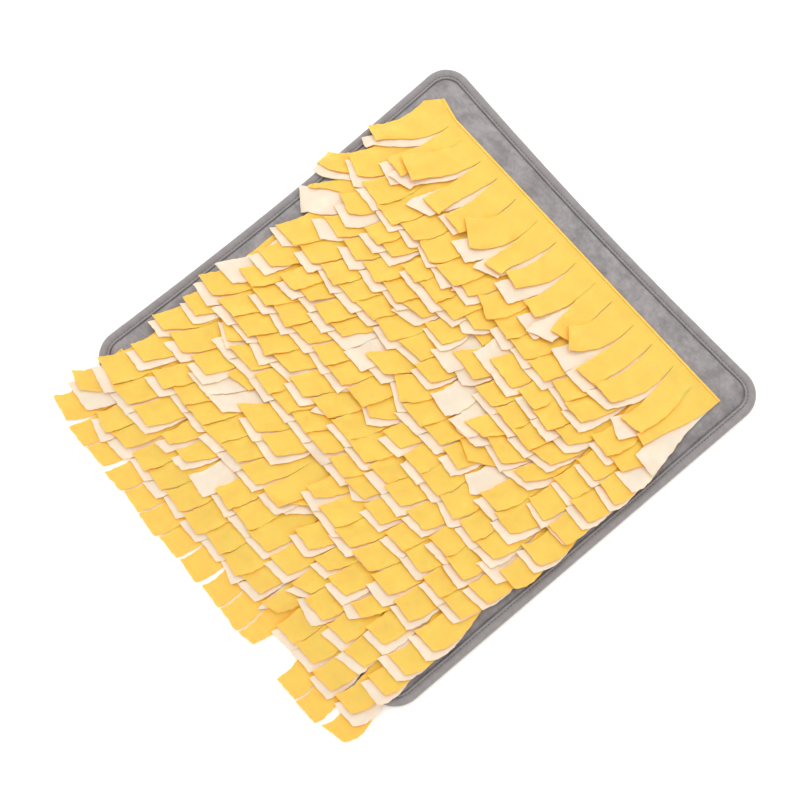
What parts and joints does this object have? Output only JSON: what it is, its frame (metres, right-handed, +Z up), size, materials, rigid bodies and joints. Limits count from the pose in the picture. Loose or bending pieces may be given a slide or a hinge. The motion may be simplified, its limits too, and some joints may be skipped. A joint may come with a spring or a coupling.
{
  "type": "snuffle mat",
  "caption": "Flat square snuffle mat: a tape-bound grey plush pad under overlapping rows of yellow and cream fleece flaps that hide dry food.",
  "frame": {"origin": "centre of the pad's flat underside, at floor level", "axes": "+Z up from the floor; +X along the rows of flaps; +Y across the rows, towards the edge with the first sewn header, away from where the flaps point"},
  "size_m": [0.5073, 0.5726, 0.0305],
  "materials": {
    "plush_grey": "short crushed plush pile, soft sheen",
    "binding_grey": "smooth matt folded tape with one line of stitches",
    "fleece_yellow": "matt brushed fleece with cut edges",
    "fleece_cream": "matt brushed fleece with cut edges"
  },
  "bodies": {
    "root": {"pad": "plush_grey", "binding": "binding_grey", "cream_fringe_01": "fleece_cream", "cream_fringe_02": "fleece_cream", "cream_fringe_03": "fleece_cream", "cream_fringe_04": "fleece_cream", "cream_fringe_05": "fleece_cream", "cream_fringe_06": "fleece_cream", "cream_fringe_07": "fleece_cream", "cream_fringe_08": "fleece_cream", "cream_fringe_09": "fleece_cream", "cream_fringe_10": "fleece_cream", "cream_fringe_11": "fleece_cream", "cream_fringe_12": "fleece_cream", "cream_fringe_13": "fleece_cream", "yellow_fringe_01": "fleece_yellow", "yellow_fringe_02": "fleece_yellow", "yellow_fringe_03": "fleece_yellow", "yellow_fringe_04": "fleece_yellow", "yellow_fringe_05": "fleece_yellow", "yellow_fringe_06": "fleece_yellow", "yellow_fringe_07": "fleece_yellow", "yellow_fringe_08": "fleece_yellow", "yellow_fringe_09": "fleece_yellow", "yellow_fringe_10": "fleece_yellow", "yellow_fringe_11": "fleece_yellow", "yellow_fringe_12": "fleece_yellow", "yellow_fringe_13": "fleece_yellow", "yellow_fringe_14": "fleece_yellow"}
  },
  "joints": []
}
